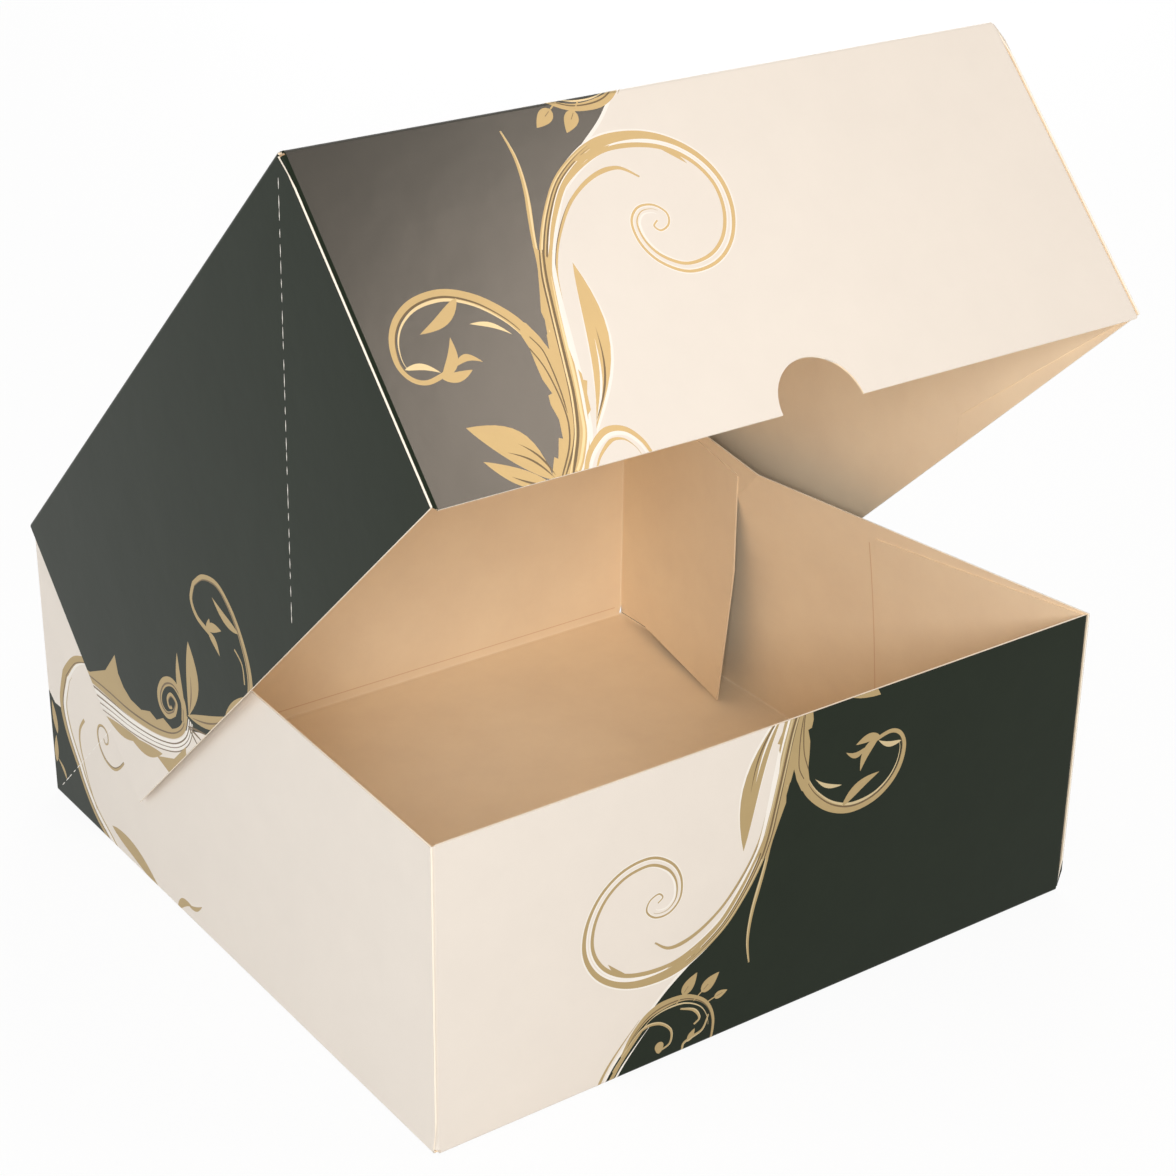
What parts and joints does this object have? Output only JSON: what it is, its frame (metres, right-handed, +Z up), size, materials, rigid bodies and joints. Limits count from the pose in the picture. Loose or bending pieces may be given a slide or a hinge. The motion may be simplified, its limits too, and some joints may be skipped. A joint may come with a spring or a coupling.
{
  "type": "pastry box",
  "caption": "Square folding carton tray with a hinged lid that has a thumb notch and a clear window.",
  "frame": {"origin": "centre of the base tray's underside", "axes": "+Z up, -Y towards the front wall, +X to the right seen from the front; the lid is hinged along the top of the back wall"},
  "size_m": [0.2432, 0.2458, 0.2699],
  "materials": {
    "base_board": "gloss coated outside, plain tan inside",
    "lid_board": "gloss coated outside, plain tan inside",
    "window_film": "clear film"
  },
  "bodies": {
    "base": {"base_tray": "base_board"},
    "lid": {"lid": "lid_board", "window_film": "window_film"}
  },
  "joints": [
    {"name": "lid_hinge", "type": "hinge", "parent": "base", "child": "lid", "pos_m": [0, 0.12, 0.1006], "axis": [-1, 0, 0], "range_deg": [-43.8, 136.2]}
  ]
}
